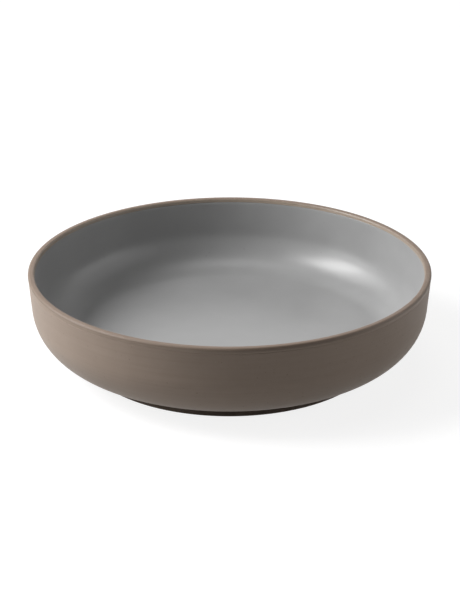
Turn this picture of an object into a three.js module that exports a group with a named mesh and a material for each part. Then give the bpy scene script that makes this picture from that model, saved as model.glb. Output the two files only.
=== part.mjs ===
import * as THREE from 'three';

// A low stoneware serving bowl: a turned clay body on a luted foot ring, with its glazes as separate coats.
// Every piece is turned about +Z, and the origin is on the table under the middle of the bowl.
// Lengths are in millimetres and angles in degrees.

// Outside of the finished bowl
const rimDiameter = 275; // across the glazed lip
const bowlHeight = 65.3; // table to the top of the glazed lip
const wallLean = 4.4; // outside wall, away from upright
const heelRadius = 34.2; // curve from the outside wall to the underside

// Clay at the lip, the inside and the floor
const lipThickness = 3.6;
const lipOuterRadius = 1.2;
const lipInnerRadius = 1;
const insideLean = 6.4; // more than the outside, so that the wall thickens downwards
const insideRadius = 29; // curve from the inside wall to the floor
const floorThickness = 6;

// Foot ring
const footHeight = 8.5; // table to the clay's underside
const footInset = 36.5; // from the rim's outside in to the foot's outside, at the table
const footWidth = 6.5; // across the ring at the table, with its rounded edges
const footTaper = 5; // each side of the ring, away from upright
const footEdgeRadius = 1.4; // worn edges of the ground face
const footFlare = 2.2; // hollow curve that blends the ring into the underside

// Coats
const bandOutside = 3.4; // brown band, down the outside from the top of the clay
const bandInside = 2.4; // and down the inside
const bandThickness = 0.4;
const liningAtBand = 0.4; // grey lining where it leaves the band
const liningAtFloor = 0.7; // and where it has run down and gathered
const outerCoatThickness = 0.3;
const baseCoatThickness = 0.3;
const seatGap = 0.02; // left between the clay and each piece on it, so that none overlap

// Fineness of the turned surfaces
const facetsAround = 48;
const arcError = 0.12; // how far a flat facet may cut inside a true curve of an outline

const degree = Math.PI / 180;

// Clay sizes that follow from the finished ones
const clayTop = bowlHeight - bandThickness - seatGap;
const clayRim = rimDiameter / 2 - bandThickness - seatGap;
const floorTop = footHeight + floorThickness;
const wallSlope = Math.tan(wallLean * degree);
const insideSlope = Math.tan(insideLean * degree);
const lipOverhang = lipOuterRadius * (wallSlope + 1 / Math.cos(wallLean * degree) - 1);
const lipCorner = clayRim + lipOverhang;
const lipInnerCorner = clayRim - lipThickness;
const heelCorner = lipCorner - (clayTop - footHeight) * wallSlope;
const insideCorner = lipInnerCorner - (clayTop - floorTop) * insideSlope;

// Foot sizes
const footOuter = rimDiameter / 2 - footInset;
const footInner = footOuter - footWidth;
const footSlope = Math.tan(footTaper * degree);
const seatOuter = footOuter + footHeight * footSlope + footFlare;
const seatInner = footInner - footHeight * footSlope - footFlare;

const corner = (radius, height, rounding = 0) => ({ at: new THREE.Vector2(radius, height), rounding });

const rightOf = (direction) => new THREE.Vector2(direction.y, -direction.x);

// How sharply a line of corners turns at each one, and how much of its two sides the rounding takes up.
function measureTurns(corners) {
  const directions = corners.slice(1).map((end, i) => end.at.clone().sub(corners[i].at).normalize());
  const turns = corners.map((point, i) => {
    if (i === 0 || i === corners.length - 1) return { angle: 0, setback: 0 };
    const before = directions[i - 1];
    const after = directions[i];
    const angle = Math.atan2(before.cross(after), before.dot(after));
    return { angle, setback: point.rounding * Math.tan(Math.abs(angle) / 2) };
  });
  return { directions, turns };
}

// Shortens roundings that don't fit together on the side they share.
function fitSetbacks(corners, turns) {
  for (let i = 1; i < corners.length; i += 1) {
    const side = corners[i].at.distanceTo(corners[i - 1].at);
    const wanted = turns[i - 1].setback + turns[i].setback;
    const share = Math.min(1, side / wanted);
    turns[i - 1].setback *= share;
    turns[i].setback *= share;
  }
}

// Points of one rounded corner, each with the direction that faces out of the material.
function roundedCorner(point, before, turn) {
  const radius = turn.setback / Math.tan(Math.abs(turn.angle) / 2);
  const side = Math.sign(turn.angle);
  const start = point.at.clone().addScaledVector(before, -turn.setback);
  const firstOut = rightOf(before);
  const centre = start.clone().addScaledVector(firstOut, -side * radius);
  const facetAngle = 2 * Math.acos(Math.max(0.5, 1 - arcError / radius));
  const steps = Math.max(3, Math.ceil(Math.abs(turn.angle) / facetAngle));
  return Array.from({ length: steps + 1 }, (_, i) => {
    const out = firstOut.clone().rotateAround(new THREE.Vector2(), turn.angle * i / steps);
    return { at: centre.clone().addScaledVector(out, side * radius), out };
  });
}

// A line through corners with the inner ones rounded. The material lies to its left.
// Roundings that run right into each other share their end point.
function roundedLine(corners) {
  const { directions, turns } = measureTurns(corners);
  fitSetbacks(corners, turns);
  const line = [{ at: corners[0].at, out: rightOf(directions[0]) }];
  for (let i = 1; i < corners.length - 1; i += 1) {
    line.push(...roundedCorner(corners[i], directions[i - 1], turns[i]));
  }
  line.push({ at: corners.at(-1).at, out: rightOf(directions.at(-1)) });
  return line.filter((point, i) => i === 0 || point.at.distanceTo(line[i - 1].at) > 0.01);
}

// Cuts a line where it first passes a radius (x) or a height (y). Both lengths keep the new point.
function cutLine(line, axis, value) {
  const isPast = (point, i) => i > 0 && (line[i - 1].at[axis] - value) * (point.at[axis] - value) <= 0;
  const next = line.findIndex(isPast);
  const before = line[next - 1];
  const after = line[next];
  const share = (value - before.at[axis]) / (after.at[axis] - before.at[axis]);
  const joint = {
    at: before.at.clone().lerp(after.at, share),
    out: before.out.clone().lerp(after.out, share).normalize(),
  };
  return [[...line.slice(0, next), joint], [joint, ...line.slice(next)]];
}

// A place above the clay: on its far side a coat is its own thickness off its seat.
const lifted = (point, thickness = 0) => point.at.clone().addScaledVector(point.out, seatGap + thickness);

const meetsAxis = (at) => at.x < 1e-6;

// Outline of a coat over one length of the clay: its face and its back. It starts on the axis if it can.
function coatOutline(length, thicknessAt) {
  const face = length.map((point) => lifted(point, thicknessAt(point)));
  const back = length.map((point) => lifted(point)).reverse();
  return meetsAxis(back[0]) ? [...back, ...face] : [...face, ...back];
}

// Turns an outline about +Z. An outline that doesn't meet the axis is closed on itself.
function turned(name, outline, material) {
  const profile = meetsAxis(outline[0]) ? outline : [...outline, outline[0]];
  const geometry = new THREE.LatheGeometry(profile, facetsAround);
  geometry.rotateX(Math.PI / 2);
  const mesh = new THREE.Mesh(geometry, material);
  mesh.name = name;
  return mesh;
}

const finish = (name, color, roughness) => new THREE.MeshStandardMaterial({ name, color, roughness });

// Clay outline from the axis under the base, out, up the wall, over the lip and back in along the floor.
const clayLine = roundedLine([
  corner(0, footHeight),
  corner(heelCorner, footHeight, heelRadius),
  corner(lipCorner, clayTop, lipOuterRadius),
  corner(lipInnerCorner, clayTop, lipInnerRadius),
  corner(insideCorner, floorTop, insideRadius),
  corner(0, floorTop),
]);

// The same line in lengths, cut where one covering gives way to the next.
const [underBase, pastBase] = cutLine(clayLine, 'x', seatInner);
const [onFoot, pastFoot] = cutLine(pastBase, 'x', seatOuter);
const [underCoat, pastCoat] = cutLine(pastFoot, 'y', clayTop - bandOutside);
const overLip = pastCoat.findIndex((point) => point.out.x <= 0);
const [lipDown, underLining] = cutLine(pastCoat.slice(overLip), 'y', clayTop - bandInside);
const underBand = [...pastCoat.slice(0, overLip), ...lipDown];

function makeClayBody() {
  const lengths = [underBase, onFoot.slice(1), underCoat.slice(1), underBand.slice(1), underLining.slice(1)];
  const outline = lengths.flat().map((point) => point.at);
  return turned('clay_body', outline, finish('clay', '#9a8672', 0.9));
}

// Where a coat's face, carried on past its edge, meets a straight side of the foot ring.
function flareCorner(coatEdge, edgePoint, sideFoot, slope) {
  const along = new THREE.Vector2(-edgePoint.out.y, edgePoint.out.x);
  const reach = (sideFoot + slope * coatEdge.y - coatEdge.x) / (along.x - slope * along.y);
  return coatEdge.clone().addScaledVector(along, reach);
}

// The ring's top follows the clay, and its two lands are as deep as the coats that end against them.
function makeFootRing() {
  const innerEdge = onFoot[0];
  const outerEdge = onFoot.at(-1);
  const innerLand = lifted(innerEdge, baseCoatThickness);
  const outerLand = lifted(outerEdge, outerCoatThickness);
  const innerFlare = flareCorner(innerLand, innerEdge, footInner, -footSlope);
  const outerFlare = flareCorner(outerLand, outerEdge, footOuter, footSlope);
  const side = roundedLine([
    { at: innerLand },
    { at: innerFlare, rounding: footFlare },
    corner(footInner, 0, footEdgeRadius),
    corner(footOuter, 0, footEdgeRadius),
    { at: outerFlare, rounding: footFlare },
    { at: outerLand },
  ]);
  const seat = onFoot.map((point) => lifted(point)).reverse();
  const outline = [...side.map((point) => point.at), ...seat];
  return turned('foot_ring', outline, finish('bare_clay', '#4a4038', 0.95));
}

function makeInnerGlaze() {
  const runDepth = clayTop - bandInside - floorTop;
  const thicknessAt = (point) => {
    const run = (point.at.y - floorTop) / runDepth;
    return THREE.MathUtils.lerp(liningAtFloor, liningAtBand, run);
  };
  const outline = coatOutline(underLining, thicknessAt);
  return turned('inner_glaze', outline, finish('grey_glaze', '#979797', 0.35));
}

function makeRimBand() {
  const outline = coatOutline(underBand, () => bandThickness);
  return turned('rim_band', outline, finish('brown_glaze', '#83705f', 0.4));
}

function makeOuterCoat() {
  const outline = coatOutline(underCoat, () => outerCoatThickness);
  return turned('outer_coat', outline, finish('taupe_coat', '#857768', 0.8));
}

function makeBaseCoat() {
  const outline = coatOutline(underBase, () => baseCoatThickness);
  return turned('base_coat', outline, finish('taupe_base', '#857768', 0.8));
}

const bowl = new THREE.Group();
bowl.name = 'serving_bowl';
bowl.add(makeClayBody(), makeFootRing(), makeInnerGlaze(), makeRimBand(), makeOuterCoat(), makeBaseCoat());

export default bowl;
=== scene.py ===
import math
from bisect import bisect_left
import bmesh
import bpy
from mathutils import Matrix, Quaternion, Vector, noise


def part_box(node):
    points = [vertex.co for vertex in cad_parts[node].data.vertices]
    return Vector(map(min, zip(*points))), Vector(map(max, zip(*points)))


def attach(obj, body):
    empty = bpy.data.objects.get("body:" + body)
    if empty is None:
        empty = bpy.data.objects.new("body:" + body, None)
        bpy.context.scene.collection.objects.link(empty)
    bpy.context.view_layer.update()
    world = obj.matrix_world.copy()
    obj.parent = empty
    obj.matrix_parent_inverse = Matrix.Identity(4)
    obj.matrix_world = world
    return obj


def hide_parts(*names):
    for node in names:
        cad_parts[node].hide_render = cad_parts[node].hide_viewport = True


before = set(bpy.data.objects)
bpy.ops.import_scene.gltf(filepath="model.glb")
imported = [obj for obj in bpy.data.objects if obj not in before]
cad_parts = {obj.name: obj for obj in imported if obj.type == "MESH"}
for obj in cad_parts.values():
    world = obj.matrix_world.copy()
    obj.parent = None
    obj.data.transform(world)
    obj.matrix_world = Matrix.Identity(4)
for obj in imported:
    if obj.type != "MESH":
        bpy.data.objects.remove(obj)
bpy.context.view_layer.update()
mm = 0.001  # sizes of the bowl are written in millimetres, all others in metres
print("frame:", ", ".join(sorted(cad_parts)))


# the camera stands where the photograph was taken from
viewForm = {
    "imageHeight": 614,  # pixels of the long side, which the sensor is fitted to
    "focalPixels": 1790.0,
    "sensor": 36.0,
    "distance": 1.2375,  # from the aim to the lens
    "elevation": 23.35,
    "roll": -0.095,
    "aim": (0.25 * mm, 0, 33.95 * mm),
}


def makeCamera(form):
    lens = bpy.data.cameras.new("bowl view")
    lens.sensor_width = form["sensor"]
    lens.lens = form["sensor"] * form["focalPixels"] / form["imageHeight"]
    lens.dof.use_dof = False
    camera = bpy.data.objects.new("bowl view", lens)
    bpy.context.scene.collection.objects.link(camera)
    tilt = math.radians(form["elevation"])
    away = Vector((0, -math.cos(tilt), math.sin(tilt)))
    camera.location = Vector(form["aim"]) + away * form["distance"]
    roll = Quaternion((0, 0, 1), math.radians(form["roll"]))
    camera.rotation_euler = ((-away).to_track_quat("-Z", "Y") @ roll).to_euler()
    bpy.context.scene.camera = camera


makeCamera(viewForm)
bpy.context.scene.view_settings.view_transform = "Standard"
print("camera placed")


# outline of the clay that every piece follows
clayLow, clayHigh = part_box("clay_body")
bowlForm = {
    "top": clayHigh.z,  # bare clay, as packed
    "rim": clayHigh.x,
    "underside": clayLow.z,
    "wallLean": math.radians(4.4),
    "heelRadius": 34.2 * mm,
    "lipThickness": 3.6 * mm,
    "lipOuterRadius": 1.2 * mm,
    "lipInnerRadius": 1 * mm,
    "insideLean": math.radians(6.4),
    "insideRadius": 29 * mm,
    "floorThickness": 6 * mm,
    "seatGap": 0.02 * mm,
    "facet": math.radians(3),  # largest bend from ring to ring
    "around": 160,  # vertices in each ring
}
# unevenness of hand work, and how short its waves are round the bowl
handDrift = {
    "radius": 0.14 * mm, "height": 0.10 * mm, "waves": 1.4,
    "edge": 0.20 * mm, "edgeWaves": 5,
}
# layers of the noise that it is read from
noiseLayers = {"wall": 3.1, "top": 8.4, "base": 48, "foot": 48, "band": 48, "lining": 62}


def roundedLine(corners, facet, fewestSteps=6):
    # corners are (radius, height, rounding), with the clay on the left of the line
    places = [Vector(corner[:2]) for corner in corners]
    ways = [(after - before).normalized() for before, after in zip(places, places[1:])]
    outs = [Vector((way.y, -way.x)) for way in ways]
    line = [(places[0], outs[0])]
    for i in range(1, len(corners) - 1):
        turn = math.atan2(ways[i - 1].cross(ways[i]), ways[i - 1].dot(ways[i]))
        radius = math.copysign(corners[i][2], turn)
        start = places[i] - ways[i - 1] * abs(radius) * math.tan(abs(turn) / 2)
        centre = start - outs[i - 1] * radius
        steps = max(fewestSteps, math.ceil(abs(turn) / facet))
        for step in range(steps + 1):
            bend = math.atan2(outs[i - 1].y, outs[i - 1].x) + turn * step / steps
            out = Vector((math.cos(bend), math.sin(bend)))
            line.append((centre + out * radius, out))
    line.append((places[-1], outs[-1]))
    return line


def measured(line, closest=1e-7):
    # drops doubled places and adds the running length
    kept, runs = [line[0]], [0.0]
    for place, out in line[1:]:
        step = (place - kept[-1][0]).length
        if step > closest:
            kept.append((place, out))
            runs.append(runs[-1] + step)
    return {"line": kept, "runs": runs}


def placeAt(outline, run):
    runs, line = outline["runs"], outline["line"]
    i = min(max(bisect_left(runs, run), 1), len(runs) - 1)
    share = (run - runs[i - 1]) / (runs[i] - runs[i - 1])
    place = line[i - 1][0].lerp(line[i][0], share)
    out = line[i - 1][1].lerp(line[i][1], share)
    return place, out.normalized()


def runWhere(outline, axis, value, after=0.0):
    # running length where the line first passes a radius (0) or a height (1)
    runs, line = outline["runs"], outline["line"]
    for i in range(1, len(runs)):
        low, high = line[i - 1][0][axis], line[i][0][axis]
        if runs[i] > after and (low - value) * (high - value) <= 0 and low != high:
            return runs[i - 1] + (runs[i] - runs[i - 1]) * (value - low) / (high - low)


def clayOutline(form):
    wallSlope, insideSlope = math.tan(form["wallLean"]), math.tan(form["insideLean"])
    floor = form["underside"] + form["floorThickness"]
    overhang = form["lipOuterRadius"] * (wallSlope + 1 / math.cos(form["wallLean"]) - 1)
    lipOuter = form["rim"] + overhang
    lipInner = form["rim"] - form["lipThickness"]
    heel = lipOuter - (form["top"] - form["underside"]) * wallSlope
    insideFoot = lipInner - (form["top"] - floor) * insideSlope
    return measured(roundedLine([
        (0, form["underside"], 0),
        (heel, form["underside"], form["heelRadius"]),
        (lipOuter, form["top"], form["lipOuterRadius"]),
        (lipInner, form["top"], form["lipInnerRadius"]),
        (insideFoot, floor, form["insideRadius"]),
        (0, floor, 0),
    ], form["facet"]))


def drift(angle, layer, waves):
    # slow unevenness round the bowl, from -1 to 1, the same every run
    return noise.noise(Vector((math.cos(angle) * waves, math.sin(angle) * waves, layer)))


def thrownPlace(place, angle):
    # turns a place of the outline to an angle, a little off true, and most so at the top
    rise = place.y / bowlForm["top"]
    reach = place.x / bowlForm["rim"]
    sideways = drift(angle, noiseLayers["wall"] + rise, handDrift["waves"])
    upward = drift(angle, noiseLayers["top"], handDrift["waves"])
    radius = place.x + handDrift["radius"] * reach * rise * sideways
    height = place.y + handDrift["height"] * rise ** 3 * upward
    return Vector((radius * math.cos(angle), radius * math.sin(angle), height))


clay = clayOutline(bowlForm)
angles = [2 * math.pi * i / bowlForm["around"] for i in range(bowlForm["around"])]

# running lengths where one covering gives way to the next
bandLow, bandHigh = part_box("rim_band")
edges = {"axis": 0.0, "floorAxis": clay["runs"][-1]}
edges["base"] = runWhere(clay, 0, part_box("base_coat")[1].x)
edges["foot"] = runWhere(clay, 0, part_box("foot_ring")[1].x, edges["base"])
edges["band"] = runWhere(clay, 1, bandLow.z, edges["foot"])
edges["overLip"] = runWhere(clay, 0, bowlForm["rim"] - bowlForm["lipThickness"], edges["band"])
edges["lining"] = runWhere(clay, 1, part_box("inner_glaze")[1].z, edges["overLip"])
print("outline:", {name: round(run / mm, 1) for name, run in edges.items()})


def turnedPiece(name, rings, closed, node, material):
    # rings hold one place per angle, or one place alone on the axis
    vertices, starts = [], []
    for ring in rings:
        starts.append(len(vertices))
        vertices.extend(ring)
    faces = []
    for a in range(len(rings) if closed else len(rings) - 1):
        b = (a + 1) % len(rings)
        for i in range(len(angles)):
            j = (i + 1) % len(angles)
            low = [starts[a]] if len(rings[a]) == 1 else [starts[a] + i, starts[a] + j]
            high = [starts[b]] if len(rings[b]) == 1 else [starts[b] + j, starts[b] + i]
            faces.append(low + high)
    mesh = bpy.data.meshes.new(name)
    mesh.from_pydata(vertices, [], faces)
    shape = bmesh.new()
    shape.from_mesh(mesh)
    bmesh.ops.recalc_face_normals(shape, faces=shape.faces)
    shape.to_mesh(mesh)
    shape.free()
    mesh.shade_smooth()
    mesh.materials.append(material)
    piece = bpy.data.objects.new(name, mesh)
    bpy.context.scene.collection.objects.link(piece)
    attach(piece, "root")
    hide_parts(node)
    print("piece:", name, len(vertices), "vertices")


def edgeRun(edge, angle):
    # the coats' visible edges wander a little
    if edge in ("axis", "floorAxis"):
        return edges[edge]
    wander = drift(angle, noiseLayers[edge], handDrift["edgeWaves"])
    return edges[edge] + handDrift["edge"] * wander


edgeShares = (0.04, 0.14, 0.3, 0.52, 0.78, 1.0)  # rings across a coat's rounded edge
edgeClear = 1.4  # how far the plain rings stay from a coat's end, in widths of that edge


def coatRings(start, end, thicknessAt, form):
    # a coat from one edge to another, with rounded edges, and its back on the clay
    length = edges[end] - edges[start]
    lead = [form["edge"] * share / length for share in edgeShares]
    clear = lead[-1] * edgeClear
    plain = [i / form["rings"] for i in range(1, form["rings"])]
    inner = [share for share in plain if clear < share < 1 - clear]
    startLead = [0] if start == "axis" else lead
    endLead = [1] if end == "floorAxis" else [1 - share for share in reversed(lead)]
    faceShares = startLead + inner + endLead
    backShares = [i / form["backRings"] for i in range(form["backRings"] + 1)]

    def ringAt(share, onFace):
        ring = []
        for angle in angles:
            run = edgeRun(start, angle) * (1 - share) + edgeRun(end, angle) * share
            place, out = placeAt(clay, run)
            lift = bowlForm["seatGap"]
            if onFace:
                near = length if start == "axis" else share * length
                far = length if end == "floorAxis" else (1 - share) * length
                bead = 1 - min(1, min(near, far) / form["edge"])
                lift += thicknessAt(place, angle) * math.sqrt(1 - bead * bead)
            ring.append(thrownPlace(place + out * lift, angle))
        onAxis = (start == "axis" and share == 0) or (end == "floorAxis" and share == 1)
        return ring[:1] if onAxis else ring

    face = [ringAt(share, True) for share in faceShares]
    back = [ringAt(share, False) for share in reversed(backShares)]
    if end == "floorAxis":
        return list(reversed(face)) + list(reversed(back))
    return face + back


# small helpers for building node trees
def srgb(red, green, blue):
    # a colour as a picture shows it, 0 to 255, as Blender's linear values
    def linear(value):
        value /= 255
        return value / 12.92 if value <= 0.04045 else ((value + 0.055) / 1.055) ** 2.4
    return (linear(red), linear(green), linear(blue), 1)


def fillSocket(tree, socket, value):
    if isinstance(value, bpy.types.NodeSocket):
        tree.links.new(value, socket)
    else:
        socket.default_value = value


def addNode(tree, kind, values=None, **settings):
    node = tree.nodes.new(kind)
    for key, value in settings.items():
        setattr(node, key, value)
    for key, value in (values or {}).items():
        fillSocket(tree, node.inputs[key], value)
    return node


def calc(tree, operation, first, second=0.0):
    return addNode(tree, "ShaderNodeMath", {0: first, 1: second}, operation=operation).outputs[0]


def vectorCalc(tree, operation, values, output="Vector"):
    return addNode(tree, "ShaderNodeVectorMath", values, operation=operation).outputs[output]


def mapTo(tree, value, low, high, newLow, newHigh):
    values = {"Value": value, "From Min": low, "From Max": high, "To Min": newLow, "To Max": newHigh}
    return addNode(tree, "ShaderNodeMapRange", values).outputs["Result"]


def mixColour(tree, share, first, second):
    node = addNode(tree, "ShaderNodeMix", data_type="RGBA")
    colours = [socket for socket in node.inputs if socket.type == "RGBA"]
    for socket, value in zip([node.inputs[0]] + colours, (share, first, second)):
        fillSocket(tree, socket, value)
    return [socket for socket in node.outputs if socket.type == "RGBA"][0]


def newGroup(name, inputs, outputs):
    tree = bpy.data.node_groups.new(name, "ShaderNodeTree")
    for label, value in inputs.items():
        socket = tree.interface.new_socket(label, in_out="INPUT", socket_type="NodeSocketFloat")
        socket.default_value = value
    for label in outputs:
        tree.interface.new_socket(label, in_out="OUTPUT", socket_type="NodeSocketFloat")
    return tree, addNode(tree, "NodeGroupInput").outputs, addNode(tree, "NodeGroupOutput").inputs


def noiseAt(tree, place, detail, roughness):
    settings = {"Vector": place, "Scale": 1.0, "Detail": detail, "Roughness": roughness}
    return addNode(tree, "ShaderNodeTexNoise", settings).outputs["Fac"]


def bowlPlace(tree):
    return addNode(tree, "ShaderNodeTexCoord").outputs["Object"]


def heightOf(tree, place):
    return addNode(tree, "ShaderNodeSeparateXYZ", {0: place}).outputs["Z"]


def bowlRadius(tree, place):
    # the level way out from the axis, and its length
    level = vectorCalc(tree, "MULTIPLY", {0: place, 1: (1, 1, 0)})
    return level, vectorCalc(tree, "LENGTH", {0: level}, "Value")


def steppedPlace(tree, size):
    # the place on the bowl, counted in steps of a size
    perSize = calc(tree, "DIVIDE", 1.0, size)
    return vectorCalc(tree, "SCALE", {0: bowlPlace(tree), "Scale": perSize})


# effects that several finishes share
def makeTurningLines():
    # faint rings left by turning, drawn out round the axis
    tree, given, result = newGroup("turningLines", {"Spacing": 3 * mm, "Wander": 0.6}, ["Lines"])
    place = bowlPlace(tree)
    level, radius = bowlRadius(tree, place)
    height = heightOf(tree, place)
    run = calc(tree, "DIVIDE", calc(tree, "ADD", radius, height), given["Spacing"])
    way = vectorCalc(tree, "NORMALIZE", {0: level})
    around = vectorCalc(tree, "SCALE", {0: way, "Scale": given["Wander"]})
    split = addNode(tree, "ShaderNodeSeparateXYZ", {0: around}).outputs
    drawn = addNode(tree, "ShaderNodeCombineXYZ", {0: split["X"], 1: split["Y"], 2: run}).outputs[0]
    tree.links.new(noiseAt(tree, drawn, detail=2.5, roughness=0.55), result["Lines"])
    return tree


def makeMottle():
    # cloudy change of tone, as a glaze has where it is a little thicker or thinner
    tree, given, result = newGroup("glazeMottle", {"Size": 20 * mm, "Detail": 3.0}, ["Tone"])
    place = steppedPlace(tree, given["Size"])
    tree.links.new(noiseAt(tree, place, given["Detail"], roughness=0.5), result["Tone"])
    return tree


def makeSpecks():
    # small mineral specks, in a share of the cells that they could sit in
    tree, given, result = newGroup("mineralSpecks", {"Size": 1.6 * mm, "Share": 0.1}, ["Specks"])
    place = steppedPlace(tree, given["Size"])
    cells = addNode(tree, "ShaderNodeTexVoronoi", {"Vector": place, "Scale": 1.0}, feature="F1")
    pick = addNode(tree, "ShaderNodeSeparateColor", {0: cells.outputs["Color"]})
    chosen = calc(tree, "LESS_THAN", pick.outputs[0], given["Share"])
    smallest, largest, softness = 0.14, 0.38, 0.12  # in cells
    reach = mapTo(tree, pick.outputs[1], 0, 1, smallest, largest)
    inside = calc(tree, "SUBTRACT", reach, cells.outputs["Distance"])
    soft = mapTo(tree, inside, 0, softness, 0, 1)
    tree.links.new(calc(tree, "MULTIPLY", chosen, soft), result["Specks"])
    return tree


def makeGrain():
    # fine grain of a dry surface
    tree, given, result = newGroup("dryGrain", {"Size": 0.5 * mm}, ["Grain"])
    place = steppedPlace(tree, given["Size"])
    tree.links.new(noiseAt(tree, place, detail=3.0, roughness=0.65), result["Grain"])
    return tree


turningLines, glazeMottle = makeTurningLines(), makeMottle()
mineralSpecks, dryGrain = makeSpecks(), makeGrain()
noiseSpan = (0.3, 0.7)  # where most values of a noise lie
print("shared effects built")


def newFinish(name):
    material = bpy.data.materials.new(name)
    material.use_nodes = True
    tree = material.node_tree
    return material, tree, tree.nodes["Principled BSDF"]


def effect(tree, group, **values):
    node = addNode(tree, "ShaderNodeGroup")
    node.node_tree = group
    for label, value in values.items():
        node.inputs[label].default_value = value
    return node.outputs[0]


def addScaled(tree, first, firstShare, second, secondShare):
    scaled = calc(tree, "MULTIPLY", first, firstShare)
    return calc(tree, "ADD", scaled, calc(tree, "MULTIPLY", second, secondShare))


def addSpecks(tree, colour, specks):
    # specks over a colour, in their own colour and strength
    spots = effect(tree, mineralSpecks, Size=specks["size"], Share=specks["share"])
    shown = calc(tree, "MULTIPLY", spots, specks["strength"])
    return mixColour(tree, shown, colour, specks["colour"])


def bumpFrom(tree, shader, height, strength, distance):
    values = {"Height": height, "Strength": strength, "Distance": distance}
    bump = addNode(tree, "ShaderNodeBump", values)
    tree.links.new(bump.outputs["Normal"], shader.inputs["Normal"])


# grey satin lining
liningForm = {
    "atBand": 0.4 * mm, "atFloor": 0.7 * mm,
    "edge": 0.25 * mm, "rings": 64, "backRings": 20,
    "thin": srgb(151, 151, 151), "full": srgb(157, 157, 157),
    "mottle": {"Size": 34 * mm, "Detail": 3.0},
    "specks": {"size": 2.2 * mm, "share": 0.05, "strength": 0.35, "colour": srgb(136, 136, 136)},
    "roughness": (0.28, 0.32),
    "ripple": {"Size": 9 * mm, "Detail": 1.5}, "rippleShare": 1.0,
    "lines": {"Spacing": 5 * mm, "Wander": 0.5}, "lineShare": 0.35,
    "bump": (0.05, 0.4 * mm),  # strength, and height of ripple and lines
}


def greyGlaze(form):
    material, tree, shader = newFinish("grey satin glaze")
    tone = effect(tree, glazeMottle, **form["mottle"])
    colour = mixColour(tree, mapTo(tree, tone, *noiseSpan, 0, 1), form["thin"], form["full"])
    colour = addSpecks(tree, colour, form["specks"])
    tree.links.new(colour, shader.inputs["Base Color"])
    tree.links.new(mapTo(tree, tone, *noiseSpan, *form["roughness"]), shader.inputs["Roughness"])
    ripple = effect(tree, glazeMottle, **form["ripple"])
    lines = effect(tree, turningLines, **form["lines"])
    height = addScaled(tree, lines, form["lineShare"], ripple, form["rippleShare"])
    bumpFrom(tree, shader, height, *form["bump"])
    return material


def liningThickness(place, angle):
    floor = bowlForm["underside"] + bowlForm["floorThickness"]
    rise = (place.y - floor) / (bowlForm["top"] - floor)
    return liningForm["atFloor"] + (liningForm["atBand"] - liningForm["atFloor"]) * rise


rings = coatRings("lining", "floorAxis", liningThickness, liningForm)
turnedPiece("grey_lining", rings, False, "inner_glaze", greyGlaze(liningForm))


# matt taupe coat, outside and under the base
coatForm = {
    "thickness": 0.3 * mm,
    "edge": 0.12 * mm, "rings": 64, "backRings": 24,
    "dark": srgb(144, 127, 113), "light": srgb(153, 136, 122),
    "mottle": {"Size": 18 * mm, "Detail": 4.0}, "mottleShare": 0.55,
    "lines": {"Spacing": 2.4 * mm, "Wander": 1.2}, "lineShare": 0.45,
    "span": (0.34, 0.66),  # where most values of mottle and lines together lie
    "darkSpecks": {"size": 1.7 * mm, "share": 0.10, "strength": 0.4, "colour": srgb(100, 87, 77)},
    "lightSpecks": {"size": 1.1 * mm, "share": 0.08, "strength": 0.3, "colour": srgb(170, 156, 143)},
    "roughness": (0.58, 0.68),
    "sheen": 0.12,  # pale bloom of a dry coat seen edge on
    "grain": {"Size": 0.55 * mm}, "grainBump": 0.5, "lineBump": 1.0,
    "bump": (0.25, 0.12 * mm),  # strength, and height of grain and lines
}
baseForm = {
    "thickness": 0.3 * mm,
    "edge": 0.35 * mm, "rings": 48, "backRings": 8,
    "lineDepth": 0.03 * mm, "linePitch": 4.6 * mm,  # tool lines from trimming
    "lineFade": 6 * mm,  # radius that they fade out from, toward the middle
}


def taupeCoat(form):
    material, tree, shader = newFinish("matt taupe coat")
    tone = effect(tree, glazeMottle, **form["mottle"])
    lines = effect(tree, turningLines, **form["lines"])
    blend = addScaled(tree, tone, form["mottleShare"], lines, form["lineShare"])
    colour = mixColour(tree, mapTo(tree, blend, *form["span"], 0, 1), form["dark"], form["light"])
    colour = addSpecks(tree, colour, form["darkSpecks"])
    colour = addSpecks(tree, colour, form["lightSpecks"])
    tree.links.new(colour, shader.inputs["Base Color"])
    tree.links.new(mapTo(tree, blend, *form["span"], *form["roughness"]), shader.inputs["Roughness"])
    shader.inputs["Sheen Weight"].default_value = form["sheen"]
    grain = effect(tree, dryGrain, **form["grain"])
    height = addScaled(tree, grain, form["grainBump"], lines, form["lineBump"])
    bumpFrom(tree, shader, height, *form["bump"])
    return material


taupe = taupeCoat(coatForm)
rings = coatRings("foot", "band", lambda place, angle: coatForm["thickness"], coatForm)
turnedPiece("outer_wall_coat", rings, True, "outer_coat", taupe)


def baseThickness(place, angle):
    # shallow tool lines in a slow spiral round the middle
    turns = place.x / baseForm["linePitch"] + angle / (2 * math.pi)
    depth = baseForm["lineDepth"] * min(1, place.x / baseForm["lineFade"])
    return baseForm["thickness"] + depth * math.sin(2 * math.pi * turns)


rings = coatRings("axis", "base", baseThickness, baseForm)
turnedPiece("underside_coat", rings, False, "base_coat", taupe)


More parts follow.
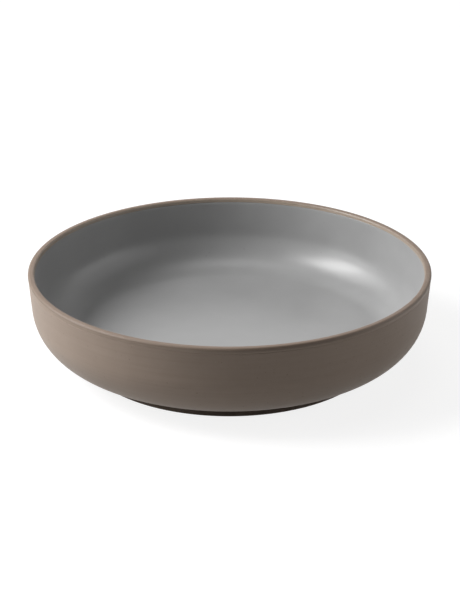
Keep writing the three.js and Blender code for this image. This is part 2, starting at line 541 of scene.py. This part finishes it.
# brown glaze over the lip, which runs out into the coat below it
bandForm = {
    "thickness": 0.4 * mm,
    "atCoat": 0.3 * mm, "thinsOver": 1.5 * mm,
    "edge": 0.12 * mm, "rings": 40, "backRings": 16,
    # the first colour is painted shade on the face under the lip; the third is a painted highlight
    # along the inner edge
    "deep": srgb(103, 87, 73), "worn": srgb(130, 112, 98), "pale": srgb(190, 176, 160),
    "mottle": {"Size": 7 * mm, "Detail": 3.0},
    "deepSide": math.radians(-71),  # side on the front right, away from the key lamps, where the painted shade is darkest
    "deepReach": (0.87, 0.99),  # cosines of the angle from there, between which the painted shade comes in
    "deepens": (3.7 * mm, 2.0 * mm),  # and depths under the top, from the first up to the second
    "corner": (2.0 * mm, 1.2 * mm), "cornerShade": 0.65,  # painted shade under the outside corner, the same all round
    "crest": (0.55 * mm, 0.15 * mm),  # and where it turns worn
    "paleInset": 0.3 * mm, "paleWidth": 0.8 * mm, "paintedHighlightShare": 0.45,  # painted highlight along the inner edge, at the lining
    "wander": {"Size": 3 * mm, "Detail": 2.0}, "ragged": 0.3 * mm,  # of that edge
    "roughness": (0.50, 0.60), "paleRoughness": 0.3,
    "ripple": {"Size": 2.5 * mm, "Detail": 2.0},
    "bump": (0.15, 0.2 * mm),  # strength, and height of the ripple
}


def brownGlaze(form, coat):
    material, tree, shader = newFinish("brown rim glaze")
    tone = effect(tree, glazeMottle, **form["mottle"])
    colour = mixColour(tree, mapTo(tree, tone, *noiseSpan, 0, 1), coat["dark"], coat["light"])
    place = bowlPlace(tree)
    level, radius = bowlRadius(tree, place)
    height = heightOf(tree, place)

    def risen(depths, most=1):
        # grows from 0 between two depths under the top
        low, high = (bandHigh.z - depth for depth in depths)
        return mapTo(tree, height, low, high, 0, most)

    # painted shade: darker on the face under the lip, all round and most on the front right, away from
    # the key lamps
    way = vectorCalc(tree, "NORMALIZE", {0: level})
    deepWay = (math.cos(form["deepSide"]), math.sin(form["deepSide"]), 0)
    toDeep = vectorCalc(tree, "DOT_PRODUCT", {0: way, 1: deepWay}, "Value")
    onSide = mapTo(tree, toDeep, *form["deepReach"], 0, 1)
    deep = calc(tree, "MULTIPLY", risen(form["deepens"]), onSide)
    deep = calc(tree, "MAXIMUM", deep, risen(form["corner"], form["cornerShade"]))
    colour = mixColour(tree, deep, colour, form["deep"])
    colour = mixColour(tree, risen(form["crest"]), colour, form["worn"])
    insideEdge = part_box("inner_glaze")[1].x - form["paleInset"]
    wander = effect(tree, glazeMottle, **form["wander"])
    ragged = mapTo(tree, wander, 0, 1, -form["ragged"], form["ragged"])
    across = calc(tree, "ADD", radius, ragged)
    lapped = mapTo(tree, across, insideEdge, insideEdge + form["paleWidth"], 1, 0)
    # painted highlight: the inner edge tinted pale where the lining laps over it, which is also made
    # glossier below
    pale = calc(tree, "MULTIPLY", lapped, form["paintedHighlightShare"])
    colour = mixColour(tree, pale, colour, form["pale"])
    tree.links.new(colour, shader.inputs["Base Color"])
    roughness = mapTo(tree, tone, *noiseSpan, *form["roughness"])
    roughness = mapTo(tree, lapped, 0, 1, roughness, form["paleRoughness"])
    tree.links.new(roughness, shader.inputs["Roughness"])
    bumpFrom(tree, shader, effect(tree, glazeMottle, **form["ripple"]), *form["bump"])
    return material


def bandThickness(place, angle):
    # full over the lip, and down to the coat's own thickness where it meets the coat
    if place.x < bowlForm["rim"] - bowlForm["lipThickness"] / 2:
        return bandForm["thickness"]
    rise = min(1, max(0, (place.y - bandLow.z) / bandForm["thinsOver"]))
    return bandForm["atCoat"] + (bandForm["thickness"] - bandForm["atCoat"]) * rise


rings = coatRings("band", "lining", bandThickness, bandForm)
turnedPiece("rim_glaze", rings, True, "rim_band", brownGlaze(bandForm, coatForm))


# bare clay: the foot ring, and the body under the coats
footForm = {
    "inset": 36.5 * mm,  # from the rim's outside
    "width": 6.5 * mm,
    "taper": math.radians(5),
    "edgeRadius": 1.4 * mm,
    "flare": 2.2 * mm,  # rounding where the ring meets the coats
    "facet": math.radians(8),
    "seatRings": 10,
    "dark": srgb(92, 80, 70), "light": srgb(112, 98, 86),
    "mottle": {"Size": 8 * mm, "Detail": 5.0},
    "specks": {"size": 1.2 * mm, "share": 0.2, "strength": 0.7, "colour": srgb(58, 49, 42)},
    "ground": srgb(128, 114, 101),  # paler where the foot is ground flat
    "groundHeights": (0.15 * mm, 0.6 * mm), "groundShare": 0.8,
    "grain": {"Size": 0.7 * mm},
    "roughness": (0.85, 0.98),
    "bump": (0.5, 0.2 * mm),  # strength, and height of the grain
}


def bareClay(form):
    material, tree, shader = newFinish("bare fired clay")
    tone = effect(tree, glazeMottle, **form["mottle"])
    colour = mixColour(tree, mapTo(tree, tone, *noiseSpan, 0, 1), form["dark"], form["light"])
    colour = addSpecks(tree, colour, form["specks"])
    height = heightOf(tree, bowlPlace(tree))
    ground = mapTo(tree, height, *form["groundHeights"], form["groundShare"], 0)
    colour = mixColour(tree, ground, colour, form["ground"])
    tree.links.new(colour, shader.inputs["Base Color"])
    grain = effect(tree, dryGrain, **form["grain"])
    tree.links.new(mapTo(tree, grain, *noiseSpan, *form["roughness"]), shader.inputs["Roughness"])
    bumpFrom(tree, shader, grain, *form["bump"])
    return material


def landAndFlare(edge, coatDepth, sideFoot, sideSlope):
    # where a coat ends on the ring, and where its face would meet the ring's side
    place, out = placeAt(clay, edges[edge])
    land = place + out * (bowlForm["seatGap"] + coatDepth)
    along = Vector((-out.y, out.x))
    reach = (sideFoot + sideSlope * land.y - land.x) / (along.x - sideSlope * along.y)
    return land, land + along * reach


def footRings(form):
    slope = math.tan(form["taper"])
    outer = bandHigh.x - form["inset"]
    inner = outer - form["width"]
    innerLand, innerFlare = landAndFlare("base", baseForm["thickness"], inner, -slope)
    outerLand, outerFlare = landAndFlare("foot", coatForm["thickness"], outer, slope)
    side = roundedLine([
        (*innerLand, 0),
        (*innerFlare, form["flare"]),
        (inner, 0, form["edgeRadius"]),
        (outer, 0, form["edgeRadius"]),
        (*outerFlare, form["flare"]),
        (*outerLand, 0),
    ], form["facet"])
    places = [place for place, out in measured(side)["line"]]
    seat = edges["base"] - edges["foot"]
    for i in range(form["seatRings"] + 1):
        place, out = placeAt(clay, edges["foot"] + seat * i / form["seatRings"])
        places.append(place + out * bowlForm["seatGap"])
    return [[thrownPlace(place, angle) for angle in angles] for place in places]


stoneware = bareClay(footForm)
turnedPiece("foot", footRings(footForm), True, "foot_ring", stoneware)

bodyForm = {"rings": 150}
bodyRings = []
for i in range(bodyForm["rings"] + 1):
    place = placeAt(clay, edges["floorAxis"] * i / bodyForm["rings"])[0]
    ring = [thrownPlace(place, angle) for angle in angles]
    bodyRings.append(ring[:1] if i in (0, bodyForm["rings"]) else ring)
turnedPiece("clay_wall", bodyRings, False, "clay_body", stoneware)


# floor and light
stageForm = {
    "half": 6.0,  # half the floor's width
    "white": (0.84, 1.0),  # glow near the bowl, where the lamps add to it, and far away
    "fade": (0.9, 2.6),  # how far out the one gives way to the other
    "bounce": (0.35, 0.35, 0.35, 1),  # what the floor throws back onto the bowl
    "shadow": (0.28, 0.28, 0.28, 1),  # how strongly the bowl's shadow shows
}


def seenDirectly(tree):
    # rays that see the background: straight, by a reflection or through glass
    path = addNode(tree, "ShaderNodeLightPath").outputs
    seen = calc(tree, "MAXIMUM", path["Is Camera Ray"], path["Is Glossy Ray"])
    return calc(tree, "MAXIMUM", seen, path["Is Transmission Ray"])


def makeFloor(form):
    half = form["half"]
    mesh = bpy.data.meshes.new("floor")
    corners = [(-half, -half, 0), (half, -half, 0), (half, half, 0), (-half, half, 0)]
    mesh.from_pydata(corners, [], [(0, 1, 2, 3)])
    floor = bpy.data.objects.new("floor", mesh)
    bpy.context.scene.collection.objects.link(floor)
    material, tree, shader = newFinish("pale floor")
    tree.nodes.remove(shader)
    radius = bowlRadius(tree, bowlPlace(tree))[1]
    glow = mapTo(tree, radius, *form["fade"], *form["white"])
    bounce = addNode(tree, "ShaderNodeBsdfDiffuse", {"Color": form["bounce"]}).outputs[0]
    shadow = addNode(tree, "ShaderNodeBsdfDiffuse", {"Color": form["shadow"]}).outputs[0]
    white = addNode(tree, "ShaderNodeEmission", {"Strength": glow}).outputs[0]
    lit = addNode(tree, "ShaderNodeAddShader", {0: shadow, 1: white}).outputs[0]
    top = addNode(tree, "ShaderNodeMixShader", {0: seenDirectly(tree), 1: bounce, 2: lit}).outputs[0]
    under = addNode(tree, "ShaderNodeNewGeometry").outputs["Backfacing"]
    clear = addNode(tree, "ShaderNodeBsdfTransparent").outputs[0]
    both = addNode(tree, "ShaderNodeMixShader", {0: under, 1: top, 2: clear}).outputs[0]
    tree.links.new(both, tree.nodes["Material Output"].inputs["Surface"])
    mesh.materials.append(material)


# soft boxes: side and elevation that they shine from, width and height, and watts
lampDistance = 1.7  # from the camera's aim
lampForms = {
    "key": {"side": 180, "elevation": 42, "size": (0.65, 0.95), "power": 20.6},
    "backKey": {"side": 166, "elevation": 40, "size": (1.1, 1.2), "power": 11.9},
    "frontKey": {"side": 200, "elevation": 36, "size": (0.5, 0.9), "power": 3.1},
    "lowKey": {"side": 185, "elevation": 10, "size": (1.1, 0.36), "power": 7.5},
    "fill": {"side": 15, "elevation": 28, "size": (0.7, 1.1), "power": 1.1},
    "frontFill": {"side": -18, "elevation": 27, "size": (0.9, 1.1), "power": 2.0},
    "lowFill": {"side": 2, "elevation": 9, "size": (1.4, 0.48), "power": 2.9},
    "back": {"side": 95, "elevation": 44, "size": (0.9, 0.7), "power": 1.3},
    "lowBack": {"side": 92, "elevation": 27, "size": (1.0, 0.4), "power": 1.1},
    "top": {"side": 90, "elevation": 84, "size": (0.8, 0.8), "power": 3.5},
}
skyForm = {
    "light": 0.0,  # what the room sheds on matt faces
    "white": (1, 1, 1, 1),  # its colour, as seen and in reflections
    "horizon": (0.2, 1.0), "wall": (0.45, 0.8), "ceiling": (0.85, 0.28),  # how far up, and how white
}


def makeLamp(name, form):
    lamp = bpy.data.lights.new(name, "AREA")
    lamp.shape = "RECTANGLE"
    lamp.size, lamp.size_y = form["size"]
    lamp.energy = form["power"]
    holder = bpy.data.objects.new(name, lamp)
    holder.visible_camera = False
    bpy.context.scene.collection.objects.link(holder)
    side, tilt = math.radians(form["side"]), math.radians(form["elevation"])
    way = Vector((math.cos(side) * math.cos(tilt), math.sin(side) * math.cos(tilt), math.sin(tilt)))
    holder.location = Vector(viewForm["aim"]) + way * lampDistance
    holder.rotation_euler = (-way).to_track_quat("-Z", "Y").to_euler()


def makeSky(form):
    world = bpy.data.worlds.new("studio")
    bpy.context.scene.world = world
    world.use_nodes = True
    tree = world.node_tree
    tree.nodes.clear()
    way = addNode(tree, "ShaderNodeTexCoord").outputs["Generated"]
    up = heightOf(tree, way)
    (wallUp, wallWhite), (ceilingUp, ceilingWhite) = form["wall"], form["ceiling"]
    horizonUp, horizonWhite = form["horizon"]
    low = mapTo(tree, up, horizonUp, wallUp, horizonWhite, wallWhite)
    room = mapTo(tree, up, wallUp, ceilingUp, low, ceilingWhite)
    light = addNode(tree, "ShaderNodeBackground", {"Strength": form["light"]}).outputs[0]
    values = {"Color": form["white"], "Strength": room}
    white = addNode(tree, "ShaderNodeBackground", values).outputs[0]
    both = addNode(tree, "ShaderNodeMixShader", {0: seenDirectly(tree), 1: light, 2: white}).outputs[0]
    tree.links.new(both, addNode(tree, "ShaderNodeOutputWorld").inputs["Surface"])


makeFloor(stageForm)
for lampName, lampForm in lampForms.items():
    makeLamp(lampName, lampForm)
makeSky(skyForm)
print("stage lit")
